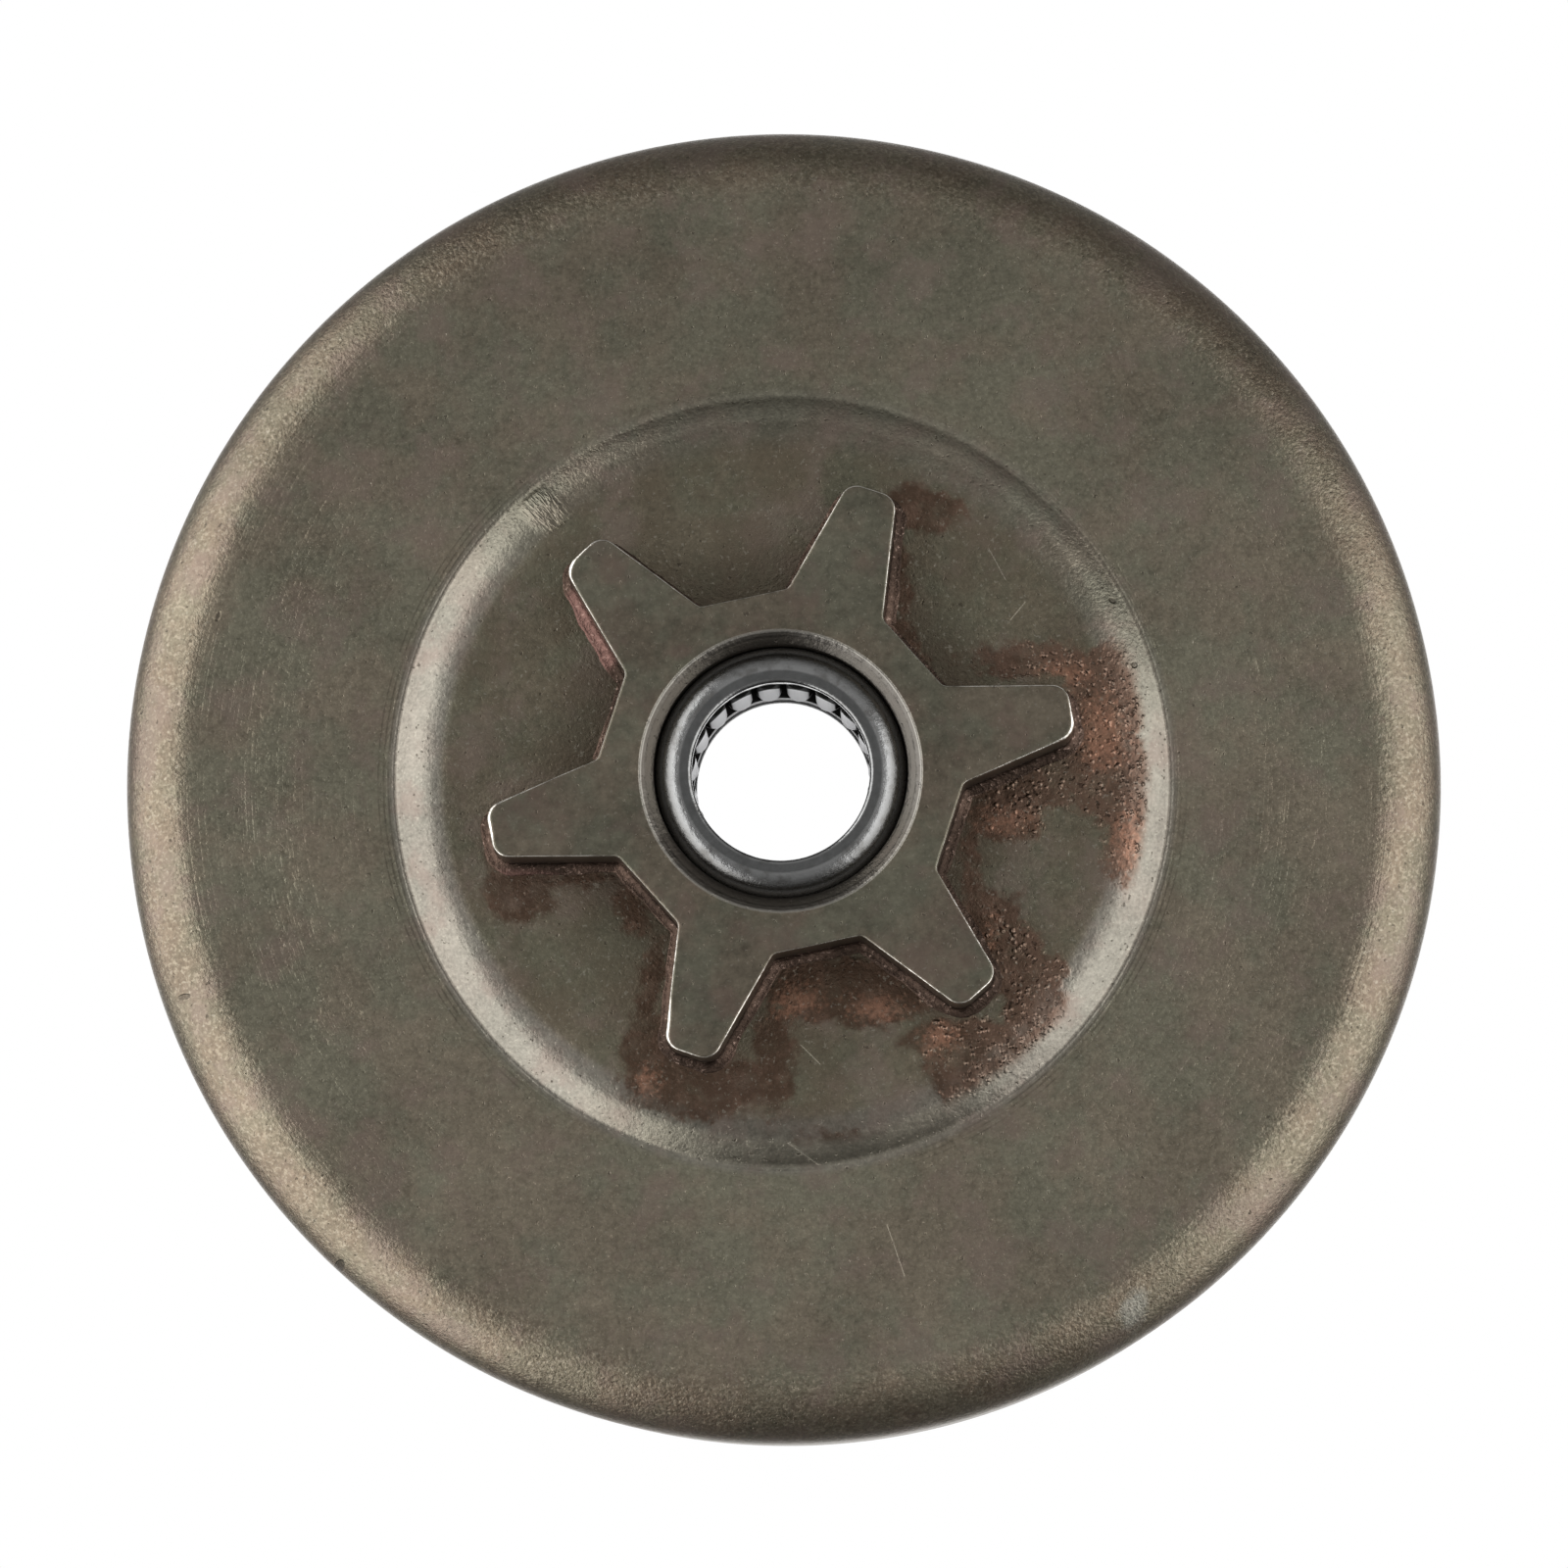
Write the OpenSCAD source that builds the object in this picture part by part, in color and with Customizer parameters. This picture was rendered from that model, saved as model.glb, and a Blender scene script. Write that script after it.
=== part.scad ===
// Clutch drum of a small garden saw: a pressed steel cup whose face carries
// a star sprocket, brazed on, with a caged needle bearing pressed in its bore.
// Millimetres. The open rim stands on z = 0, and +Z runs up the bore axis
// towards the sprocket. One sprocket tooth points along +X.

/* [Cup] */
// Outside diameter of the cup
cup_d = 68.6; // [64:0.2:76]
// Height of the cup from its open rim to its flat face
cup_h = 20; // [18:0.5:26]
// Thickness of the pressed sheet
sheet_t = 2.2; // [1.8:0.1:2.6]
// Outside rounding between the face and the wall
rim_round = 3.8; // [2.8:0.1:4.5]
// Length of the turned friction band inside the open rim
band_len = 11.5; // [8:0.5:12.5]
// Depth that the friction band is turned into the wall
band_cut = 0.5; // [0.4:0.05:0.7]
// Bevel on the inner edge of the open rim
mouth_bevel = 0.5; // [0.2:0.1:0.8]
// Bevel on the outer edge of the open rim
skirt_bevel = 0.3; // [0.1:0.1:0.8]

/* [Raised centre] */
// Diameter of the sharp corner where the raised centre meets the face
centre_d = 40; // [38:0.5:44]
// Diameter of the flat top of the raised centre
seat_d = 34.4; // [33:0.2:35]
// Height of the raised centre above the face
centre_rise = 1.1; // [0.6:0.1:1.4]

/* [Sprocket] */
// Height of the teeth above the raised centre
tooth_h = 4.7; // [4:0.1:6]
// Diameter over the tooth tips
tip_d = 30.4; // [29:0.2:32]
// Distance across the flat floors of two opposite gaps
floor_d = 18.2; // [18:0.1:19]
// Angle that one flat gap floor covers, in degrees
floor_angle = 28.5; // [24:0.5:31]
// Width of a tooth at its tip before the corners are rounded
tip_w = 2.58; // [2.3:0.02:3.1]
// Rounding of the tooth tip corners
tip_round = 0.9; // [0.6:0.05:1.1]
// Rounding where a flank meets a gap floor
gap_round = 0.5; // [0.3:0.05:0.8]
// Wall of the spigot that passes through the cup
spigot_wall = 2.1; // [1.6:0.1:2.3]
// Width of the bevel at the mouth of the bore
bore_bevel = 0.76; // [0.4:0.02:1.2]
// Depth of the bevel at the mouth of the bore
bevel_depth = 0.46; // [0.3:0.02:0.8]

/* [Braze] */
// Width of the braze fillet at the foot of the teeth
braze_w = 0.7; // [0.4:0.05:0.9]
// Height of the braze fillet up the teeth
braze_h = 0.48; // [0.3:0.06:0.6]

/* [Needle bearing] */
// Wall of the bearing shell
shell_wall = 0.58; // [0.48:0.02:0.72]
// Length of the bearing over its lips
shell_len = 12; // [11:0.5:12.5]
// Diameter of the shaft that runs in the rollers
shaft_d = 9; // [9:0.05:9.2]
// Diameter of one needle roller
roller_d = 1.4; // [1.25:0.05:1.4]
// Running gap between the rollers and the raceway, on the radius
race_gap = 0.02; // [0.01:0.01:0.05]
// Thickness of the two turned-in lips
lip_t = 0.5; // [0.3:0.1:0.7]
// Gap between the shaft and the hole in the lips, on the radius
lip_gap = 0.12; // [0.11:0.01:0.18]
// Outside rounding of the shell towards its lips
shell_round = 1.5; // [0.9:0.1:1.8]
// Depth of the bearing below the face of the sprocket
shell_sink = 0.3; // [0:0.1:0.6]
// Thickness of the two end rings of the cage
ring_t = 1.5; // [0.8:0.1:2]
// End gap between a cage ring and the lip beside it
ring_gap = 0.12; // [0.08:0.02:0.2]
// End gap between a roller and the cage ring beside it
roller_gap = 0.1; // [0.06:0.02:0.15]
// Width of one cage bar between two rollers
bar_w = 0.3; // [0.24:0.02:0.32]
// Angle of one cage bar from the +X tooth, in degrees
cage_turn = 5.5; // [0:0.5:18]

/* [Hidden] */
teeth = 6;
rollers = 20;
eps = 0.01;

// heights
seat_z = cup_h + centre_rise;
top_z = seat_z + tooth_h;
shell_top = top_z - shell_sink;
shell_bot = shell_top - shell_len;
spigot_z = shell_bot - 0.2;

// cup radii
cup_r = cup_d / 2;
wall_r = cup_r - sheet_t;
band_r = wall_r + band_cut;
inner_round = rim_round - sheet_t;
rise_half = (centre_d - seat_d) / 2;
// radius of the arc of the raised centre's shoulder
shoulder_r = (pow(rise_half, 2) + pow(centre_rise, 2)) / (2 * centre_rise);
shoulder_a = asin(rise_half / shoulder_r);

// bearing radii
pitch_r = (shaft_d + roller_d) / 2;
race_r = pitch_r + roller_d / 2 + race_gap;
shell_r = race_r + shell_wall;
lip_r = shaft_d / 2 + lip_gap;
spigot_r = shell_r + spigot_wall;
ring_in = lip_r + 0.05;
ring_out = race_r - 0.15;
bar_in = pitch_r + 0.3;
bar_out = ring_out;
ring_top = shell_top - lip_t - ring_gap;
ring_bot = shell_bot + lip_t + ring_gap;
roller_len = ring_top - ring_bot - 2 * ring_t - 2 * roller_gap;

steel = [0.42, 0.41, 0.36];
star_steel = [0.45, 0.44, 0.39];
copper = [0.55, 0.33, 0.24];
bright = [0.78, 0.80, 0.84];
cage_steel = [0.45, 0.46, 0.48];

function roller_name(i) = str("needle_roller_", i < 10 ? "0" : "", i);

// points of an arc about c, from angle a0 to a1
function arc(c, r, a0, a1, n) =
    [for (i = [0 : n]) let (a = a0 + (a1 - a0) * i / n) c + r * [cos(a), sin(a)]];

function unit(v) = v / norm(v);
function turn(p, a) = [p[0] * cos(a) - p[1] * sin(a), p[0] * sin(a) + p[1] * cos(a)];

// the corner b, between a and c, rounded with radius r in n steps
function round_corner(a, b, c, r, n) =
    let (u = unit(a - b), w = unit(c - b),
         half = acos(u * w) / 2,
         o = b + unit(u + w) * r / sin(half),
         s = b + u * r / tan(half) - o,
         e = b + w * r / tan(half) - o,
         sweep = 180 - 2 * half)
    [for (i = [0 : n]) let (k = i / n)
        o + (s * sin((1 - k) * sweep) + e * sin(k * sweep)) / sin(sweep)];

// Star outline, grown outwards by g on every side. Each tooth has a floor
// corner, a tip corner, and the same two again on its other side.
half_gap = floor_angle / 2;
floor_r = floor_d / 2 / cos(half_gap);
tooth_a = 180 / teeth - half_gap;
foot = [floor_r * cos(tooth_a), floor_r * sin(tooth_a)];
tip = [tip_d / 2, tip_w / 2];
flank = unit(tip - foot);
flank_out = [-flank[1], flank[0]];
gap_dir = [cos(180 / teeth), sin(180 / teeth)];

function grown_foot(g) =
    let (p = foot + g * flank_out)
    p + flank * ((floor_d / 2 + g - p * gap_dir) / (flank * gap_dir));
function grown_tip(g) =
    let (p = foot + g * flank_out)
    p + flank * ((tip_d / 2 + g - p[0]) / flank[0]);

function tooth_points(g, a) =
    let (f = grown_foot(g), t = grown_tip(g),
         f2 = [f[0], -f[1]], t2 = [t[0], -t[1]],
         before = turn(f, -360 / teeth), after = turn(f2, 360 / teeth),
         gr = max(gap_round - g, 0.05), tr = tip_round + g)
    [for (p = concat(
        round_corner(before, f2, t2, gr, 4),
        round_corner(f2, t2, t, tr, 7),
        round_corner(t2, t, f, tr, 7),
        round_corner(t, f, after, gr, 4))) turn(p, a)];

module star(g = 0) {
    polygon([for (k = [0 : teeth - 1]) each tooth_points(g, 360 / teeth * k)]);
}

// Pressed cup: flat face, raised centre with a rounded shoulder, rounded rim,
// straight wall and a turned friction band inside the open end.
module drum_cup() {
    under_z = cup_h - sheet_t;
    color(steel)
    rotate_extrude($fn = 128)
    polygon(concat(
        [[spigot_r, seat_z - sheet_t], [spigot_r, seat_z]],
        arc([seat_d / 2, seat_z - shoulder_r], shoulder_r, 90, 90 - shoulder_a, 8),
        arc([cup_r - rim_round, cup_h - rim_round], rim_round, 90, 0, 12),
        [[cup_r, skirt_bevel], [cup_r - skirt_bevel, 0],
         [band_r + mouth_bevel, 0], [band_r, mouth_bevel],
         [band_r, band_len], [wall_r, band_len + band_cut]],
        arc([wall_r - inner_round, under_z - inner_round], inner_round, 0, 90, 6),
        [[centre_d / 2 - 1, under_z],
         [centre_d / 2 - 1 - 1.6 * centre_rise, seat_z - sheet_t]]));
}

// Star sprocket in one piece with the spigot that carries the bearing.
module sprocket() {
    color(star_steel)
    difference() {
        union() {
            translate([0, 0, seat_z]) linear_extrude(tooth_h) star();
            translate([0, 0, spigot_z])
                cylinder(r = spigot_r, h = seat_z - spigot_z + eps, $fn = 96);
        }
        translate([0, 0, spigot_z - 1])
            cylinder(r = shell_r, h = top_z - spigot_z + 2, $fn = 96);
        translate([0, 0, top_z - bevel_depth])
            cylinder(r1 = shell_r, r2 = shell_r + 2 * bore_bevel,
                     h = 2 * bevel_depth, $fn = 96);
    }
}

// Hardened braze metal along the foot of every tooth and gap, in three steps
// that follow a hollow fillet.
module braze_fillet() {
    step_h = braze_h / 3;
    color(copper)
    for (s = [[0, 1], [1, 0.52], [2, 0.22]])
        translate([0, 0, seat_z + s[0] * step_h])
        linear_extrude(step_h)
        difference() {
            star(braze_w * s[1]);
            star();
        }
}

// Drawn shell of the needle bearing with a lip turned in at each end.
module bearing_shell() {
    inner_c = 0.15;
    color(bright)
    rotate_extrude($fn = 96)
    polygon(concat(
        [[lip_r, shell_top - lip_t], [lip_r, shell_top]],
        arc([shell_r - shell_round, shell_top - shell_round], shell_round, 90, 0, 8),
        arc([shell_r - shell_round, shell_bot + shell_round], shell_round, 0, -90, 8),
        [[lip_r, shell_bot], [lip_r, shell_bot + lip_t],
         [race_r - inner_c, shell_bot + lip_t], [race_r, shell_bot + lip_t + inner_c],
         [race_r, shell_top - lip_t - inner_c], [race_r - inner_c, shell_top - lip_t]]));
}

// Cage: two flat end rings joined by bars that run between the rollers, just
// outside their pitch circle.
module bearing_cage() {
    color(cage_steel) {
        for (z = [ring_bot, ring_top - ring_t])
            translate([0, 0, z]) difference() {
                cylinder(r = ring_out, h = ring_t, $fn = 96);
                translate([0, 0, -1]) cylinder(r = ring_in, h = ring_t + 2, $fn = 96);
            }
        for (i = [1 : rollers])
            rotate([0, 0, cage_turn + 360 / rollers * i])
            translate([bar_in, -bar_w / 2, ring_bot + ring_t / 2])
                cube([bar_out - bar_in - 0.01, bar_w, ring_top - ring_bot - ring_t]);
    }
}

// One needle roller, standing in its pocket.
module needle_roller(i) {
    color(bright)
    rotate([0, 0, cage_turn + 360 / rollers * (i - 0.5)])
    translate([pitch_r, 0, ring_bot + ring_t + roller_gap])
        cylinder(d = roller_d, h = roller_len, $fn = 32);
}

drum_cup();
sprocket();
braze_fillet();
bearing_shell();
bearing_cage();
for (i = [1 : rollers])
    needle_roller(i);
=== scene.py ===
"""Looks of a garden saw's clutch drum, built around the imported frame."""
import math

import bmesh
import bpy
from mathutils import Matrix, Vector, noise


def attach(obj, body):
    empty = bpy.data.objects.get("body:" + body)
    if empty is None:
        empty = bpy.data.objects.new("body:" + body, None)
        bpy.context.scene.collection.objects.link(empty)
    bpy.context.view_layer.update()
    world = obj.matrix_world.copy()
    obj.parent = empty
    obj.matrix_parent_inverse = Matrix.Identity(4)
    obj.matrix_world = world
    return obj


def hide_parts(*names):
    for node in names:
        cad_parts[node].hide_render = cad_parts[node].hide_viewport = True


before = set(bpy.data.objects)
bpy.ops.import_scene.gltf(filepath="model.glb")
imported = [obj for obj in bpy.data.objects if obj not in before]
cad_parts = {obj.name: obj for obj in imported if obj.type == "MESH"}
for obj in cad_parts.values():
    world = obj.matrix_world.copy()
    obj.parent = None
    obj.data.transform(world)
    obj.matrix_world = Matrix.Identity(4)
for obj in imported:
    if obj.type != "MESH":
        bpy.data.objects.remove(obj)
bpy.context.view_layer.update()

MM = 0.001
TAU = 2 * math.pi

# Sizes in millimetres, the same as the solids'
CUP_R, CUP_H, SHEET, RIM = 34.3, 20.0, 2.2, 3.8
WALL_R, BAND_R, BAND_LEN = 32.1, 32.6, 11.5
CENTRE_R, SEAT_R, RISE = 20.0, 17.2, 1.1
SEAT_Z, TOP_Z = 21.1, 25.8
SPIGOT_R, SPIGOT_Z, BORE_BEVEL, BEVEL_DEPTH = 8.6, 13.3, 0.76, 0.46
SHELL_R, SHELL_TOP, SHELL_BOT, SHELL_ROUND, LIP_T = 6.5, 25.5, 13.5, 1.5, 0.5
LIP_R, RACE_R = 4.56, 5.92
PITCH_R, ROLLER_R = 5.2, 0.7
RING_IN, RING_OUT, RING_TOP, RING_BOT, RING_T = 4.67, 5.77, 24.88, 14.12, 1.5
BAR_IN, BAR_OUT, BAR_W = 5.50, 5.76, 0.30
ROLLER_BOT, ROLLER_TOP = 15.72, 23.28
CAGE_TURN = 5.5
ROLLERS = 20
TEETH = 6
TIP_D, FLOOR_D, FLOOR_ANGLE, TIP_W = 30.4, 18.2, 28.5, 2.58
TIP_ROUND, GAP_ROUND = 0.9, 0.5
BRAZE_W, BRAZE_H = 0.7, 0.48
SHOULDER_END = 19.80  # radius where the shoulder's arc meets its foot

# The 1600 frame: the bore's centre in pixels, and pixels to a millimetre on the raised centre
BORE_PX, PX = (797.9, 794.3), 19.765

# The picture's right lies this many degrees clockwise of the row's +X
ROLL = 11.93
COS_ROLL, SIN_ROLL = math.cos(math.radians(ROLL)), math.sin(math.radians(ROLL))
RIGHT = Vector((COS_ROLL, -SIN_ROLL, 0))
UP = Vector((SIN_ROLL, COS_ROLL, 0))

# The camera: focal length and sensor in mm, distance in metres, tilt and lean in degrees,
# shift in parts of the picture, and the height it aims at in mm
FOCAL, SENSOR, DISTANCE = 200.07, 36, 0.450
TILT, LEAN, SHIFT, AIM_Z = 4.65, 0.83, (0.0013, -0.0036), 21

# The floor, in metres: half its width, and its height just under the part
FLOOR_HALF, FLOOR_Z = 3.0, -0.00002

# Light of the room by height, from straight below (0) to straight above (1); then how much of it
# there is on the picture's lower and upper side, and how far that is turned to the right, in radians
ROOM = [(0.0, 1.6), (0.035, 1.4), (0.075, 0.24), (0.28, 0.24), (0.5, 0.135), (0.70, 0.22), (1.0, 0.50)]
ROOM_SIDES, ROOM_TURN = (0.70, 1.70), 0.35

# Worn corners of the teeth: picture x and y and size, in millimetres from the bore
WORN_CORNERS = [(-15.0, -2.6, 1.3), (-5.7, -13.0, 1.0), (14.7, 2.2, 0.8), (-11.0, 10.7, 0.7)]


# ---------------------------------------------------------------- meshes
def arc(cx, cz, r, a0, a1, n):
    """Points of an arc in a profile, in degrees."""
    return [(cx + r * math.cos(math.radians(a0 + (a1 - a0) * i / n)),
             cz + r * math.sin(math.radians(a0 + (a1 - a0) * i / n))) for i in range(n + 1)]


def soften(points, size, n=3, closed=True):
    """Rounds every sharp corner of a profile by about size; an open one keeps its two ends."""
    out = []
    for i, p in enumerate(points):
        if not closed and i in (0, len(points) - 1):
            out.append(p)
            continue
        a, b, c = (Vector(points[i - 1]), Vector(p), Vector(points[(i + 1) % len(points)]))
        u, w = a - b, c - b
        if u.length < 1e-6 or w.length < 1e-6:
            continue
        bend = math.degrees(u.angle(-w, 0))
        cut = min(size, u.length * 0.4, w.length * 0.4)
        if bend < 14:
            out.append(tuple(b))
            continue
        u, w = u.normalized() * cut, w.normalized() * cut
        for k in range(n + 1):
            t = k / n
            q = b + u * (1 - t) ** 2 + w * t ** 2
            out.append(tuple(q))
    return out


def split_long(points, most):
    """Adds points so that no side of a closed profile is longer than most."""
    out = []
    for i, p in enumerate(points):
        q = points[(i + 1) % len(points)]
        n = max(1, math.ceil(math.dist(p, q) / most))
        out += [(p[0] + (q[0] - p[0]) * k / n, p[1] + (q[1] - p[1]) * k / n) for k in range(n)]
    return out


def mesh_object(name, verts, faces):
    """A smooth object from points in millimetres."""
    mesh = bpy.data.meshes.new(name)
    mesh.from_pydata([(x * MM, y * MM, z * MM) for x, y, z in verts], [], faces)
    bm = bmesh.new()
    bm.from_mesh(mesh)
    bmesh.ops.recalc_face_normals(bm, faces=bm.faces)
    bm.to_mesh(mesh)
    bm.free()
    mesh.shade_smooth()
    obj = bpy.data.objects.new(name, mesh)
    bpy.context.scene.collection.objects.link(obj)
    weighted = obj.modifiers.new("weighted", "WEIGHTED_NORMAL")
    weighted.weight = 70
    return obj


def skin_faces(rings, count, start=0):
    """Quads between rings of count points each; the last ring joins the first."""
    faces = []
    for i in range(rings):
        j = (i + 1) % rings
        for k in range(count):
            m = (k + 1) % count
            faces.append((start + i * count + k, start + i * count + m,
                          start + j * count + m, start + j * count + k))
    return faces


def lathe(name, profile, count, shift):
    """A closed profile of (radius, z) turned about the bore axis; shift moves each point."""
    verts = []
    for r, z in profile:
        for k in range(count):
            a = TAU * k / count
            rr, zz = shift(r, z, a)
            verts.append((rr * math.cos(a), rr * math.sin(a), zz))
    return mesh_object(name, verts, skin_faces(len(profile), count))


def wobble(x, y, z, size):
    """Smooth noise from -1 to 1 that changes over about size millimetres."""
    return noise.noise(Vector((x / size, y / size, z / size)))


def to_picture(x, y):
    """The same point along the picture's axes: x to its right, y to its top."""
    return x * COS_ROLL - y * SIN_ROLL, x * SIN_ROLL + y * COS_ROLL


def from_pixel(px, py):
    """Millimetres right of and above the bore's centre for a pixel of the 1600 frame."""
    return (px - BORE_PX[0]) / PX, (BORE_PX[1] - py) / PX


# ---------------------------------------------------------------- star outline
def turned(p, degrees):
    """A point turned about the bore."""
    a = math.radians(degrees)
    return (p[0] * math.cos(a) - p[1] * math.sin(a), p[0] * math.sin(a) + p[1] * math.cos(a))


def round_corner(a, b, c, r, n):
    """Points of the arc of radius r that rounds corner b between a and c."""
    a, b, c = Vector(a), Vector(b), Vector(c)
    u, w = (a - b).normalized(), (c - b).normalized()
    half = math.acos(max(-1, min(1, u.dot(w)))) / 2
    o = b + (u + w).normalized() * r / math.sin(half)
    s, e = b + u * r / math.tan(half) - o, b + w * r / math.tan(half) - o
    sweep = math.pi - 2 * half
    return [tuple(o + (s * math.sin((1 - k / n) * sweep) + e * math.sin(k / n * sweep)) / math.sin(sweep))
            for k in range(n + 1)]


def outline(grow):
    """The star's outline, grown outwards, with the same number of points for every grow."""
    half_gap = math.radians(FLOOR_ANGLE / 2)
    floor_r = FLOOR_D / 2 / math.cos(half_gap)
    tooth_a = math.pi / TEETH - half_gap
    foot = Vector((floor_r * math.cos(tooth_a), floor_r * math.sin(tooth_a)))
    tip = Vector((TIP_D / 2, TIP_W / 2))
    flank = (tip - foot).normalized()
    out = Vector((-flank.y, flank.x))
    gap_dir = Vector((math.cos(math.pi / TEETH), math.sin(math.pi / TEETH)))
    p = foot + grow * out
    f = p + flank * ((FLOOR_D / 2 + grow - p.dot(gap_dir)) / flank.dot(gap_dir))
    t = p + flank * ((TIP_D / 2 + grow - p.x) / flank.x)
    f2, t2 = (f.x, -f.y), (t.x, -t.y)
    before, after = turned(tuple(f), -360 / TEETH), turned(f2, 360 / TEETH)
    gr, tr = max(GAP_ROUND - grow, 0.05), TIP_ROUND + grow
    corners = [round_corner(before, f2, t2, gr, 6), round_corner(f2, t2, tuple(t), tr, 10),
               round_corner(t2, tuple(t), tuple(f), tr, 10),
               round_corner(tuple(t), tuple(f), after, gr, 6)]
    tooth = []
    for i, corner in enumerate(corners):
        nxt = corners[i + 1][0] if i < 3 else turned(corners[0][0], 360 / TEETH)
        tooth += corner
        n = 12 if i in (0, 2) else (2 if i == 1 else 8)
        last = corner[-1]
        tooth += [(last[0] + (nxt[0] - last[0]) * k / n, last[1] + (nxt[1] - last[1]) * k / n)
                  for k in range(1, n)]
    return [turned(q, 360 / TEETH * k) for k in range(TEETH) for q in tooth]


# ---------------------------------------------------------------- node materials
class Shade:
    """One node material around a Principled shader; distances are in millimetres."""

    def __init__(self, name):
        self.mat = bpy.data.materials.new(name)
        self.mat.use_nodes = True
        self.tree = self.mat.node_tree
        self.tree.nodes.clear()
        self.bsdf = self.tree.nodes.new("ShaderNodeBsdfPrincipled")
        out = self.tree.nodes.new("ShaderNodeOutputMaterial")
        self.tree.links.new(self.bsdf.outputs[0], out.inputs[0])
        coords = self.tree.nodes.new("ShaderNodeTexCoord").outputs["Object"]
        self.p = self.vector("SCALE", coords, scale=1 / MM)
        self.x, self.y, self.z = self.split(self.p)
        flat = self.join(self.x, self.y, 0.0)
        self.r = self.vector("LENGTH", flat)
        # picture axes: x to the picture's right, y to its top
        self.px = self.sub(self.mul(self.x, COS_ROLL), self.mul(self.y, SIN_ROLL))
        self.py = self.add(self.mul(self.x, SIN_ROLL), self.mul(self.y, COS_ROLL))
        self.turn = self.math("ARCTAN2", self.px, self.py)
        self.pic = self.join(self.px, self.py, 0.0)

    def plug(self, socket, value):
        """Links another node's output to a socket, or sets the socket to a constant."""
        if isinstance(value, bpy.types.NodeSocket):
            self.tree.links.new(value, socket)
        elif value is not None:
            if isinstance(value, tuple) and len(value) == 3 and socket.type == "RGBA":
                value = (*value, 1)
            socket.default_value = value

    def node(self, kind, inputs, out=0, **props):
        """Adds a node and returns one of its outputs."""
        node = self.tree.nodes.new("ShaderNode" + kind)
        for key, value in props.items():
            setattr(node, key, value)
        for key, value in inputs.items():
            self.plug(node.inputs[key], value)
        return node.outputs[out]

    def math(self, op, *args):
        return self.node("Math", dict(enumerate(args)), operation=op)

    def add(self, *args):
        total = args[0]
        for value in args[1:]:
            total = self.math("ADD", total, value)
        return total

    def sub(self, a, b):
        return self.math("SUBTRACT", a, b)

    def mul(self, *args):
        total = args[0]
        for value in args[1:]:
            total = self.math("MULTIPLY", total, value)
        return total

    def most(self, *args):
        total = args[0]
        for value in args[1:]:
            total = self.math("MAXIMUM", total, value)
        return total

    def least(self, a, b):
        return self.math("MINIMUM", a, b)

    def inv(self, a):
        return self.math("SUBTRACT", 1.0, a)

    def vector(self, op, a, b=None, scale=None):
        inputs = {0: a, 1: b}
        if scale is not None:
            inputs["Scale"] = scale
        out = "Value" if op in ("LENGTH", "DOT_PRODUCT", "DISTANCE") else "Vector"
        return self.node("VectorMath", inputs, out=out, operation=op)

    def split(self, vec):
        node = self.tree.nodes.new("ShaderNodeSeparateXYZ")
        self.plug(node.inputs[0], vec)
        return node.outputs

    def join(self, x, y, z):
        return self.node("CombineXYZ", {0: x, 1: y, 2: z})

    def step(self, value, lo, hi, to=(0.0, 1.0)):
        """Smooth rise of value from lo to hi."""
        return self.node("MapRange", {"Value": value, "From Min": lo, "From Max": hi,
                                      "To Min": to[0], "To Max": to[1]},
                         interpolation_type="SMOOTHSTEP")

    def band(self, value, a, b, soft):
        """1 between a and b, falling to 0 over soft outside them."""
        return self.mul(self.step(value, a - soft, a), self.inv(self.step(value, b, b + soft)))

    def noise(self, scale, detail=3.0, rough=0.55, at=None, shift=0.0, warp=0.0):
        vec = self.p if at is None else at
        if shift:
            vec = self.vector("ADD", vec, (shift, shift * 0.7, -shift))
        return self.node("TexNoise", {"Vector": vec, "Scale": scale, "Detail": detail,
                                      "Roughness": rough, "Distortion": warp}, noise_dimensions="3D")

    def cells(self, scale, shift=0.0):
        vec = self.vector("ADD", self.p, (shift, -shift, shift))
        return self.node("TexVoronoi", {"Vector": vec, "Scale": scale}, out="Distance")

    def mix(self, fac, a, b, kind="MIX"):
        return self.node("MixRGB", {0: fac, 1: a, 2: b}, blend_type=kind)

    def blob(self, px, py, rx, ry, turn=0.0):
        """Distance in mm inside an ellipse, placed in pixels of the 1600 frame on the raised centre."""
        cx, cy = from_pixel(px, py)
        rx, ry = rx / PX, ry / PX
        vec = self.vector("SUBTRACT", self.pic, (cx, cy, 0.0))
        if turn:
            vec = self.node("VectorRotate", {"Vector": vec, "Angle": math.radians(turn)},
                            rotation_type="Z_AXIS")
        vec = self.vector("MULTIPLY", vec, (1 / rx, 1 / ry, 0.0))
        return self.mul(self.inv(self.vector("LENGTH", vec)), min(rx, ry))

    def line(self, x0, y0, x1, y1, width):
        """1 on a scratch between two pixels of the 1600 frame."""
        (ax, ay), (bx, by) = from_pixel(x0, y0), from_pixel(x1, y1)
        size = math.hypot(bx - ax, by - ay)
        ux, uy = (bx - ax) / size, (by - ay) / size
        rel = self.vector("SUBTRACT", self.pic, (ax, ay, 0.0))
        along = self.vector("DOT_PRODUCT", rel, (ux, uy, 0.0))
        across = self.math("ABSOLUTE", self.vector("DOT_PRODUCT", rel, (-uy, ux, 0.0)))
        return self.mul(self.band(along, 0.0, size, 0.15), self.inv(self.step(across, width * 0.4, width)))

    def sector(self, clock, half, soft):
        """1 around a clock angle in the picture, in degrees."""
        d = self.math("WRAP", self.sub(self.turn, math.radians(clock)), math.pi, -math.pi)
        return self.inv(self.step(self.math("ABSOLUTE", d), math.radians(half), math.radians(half + soft)))

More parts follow.
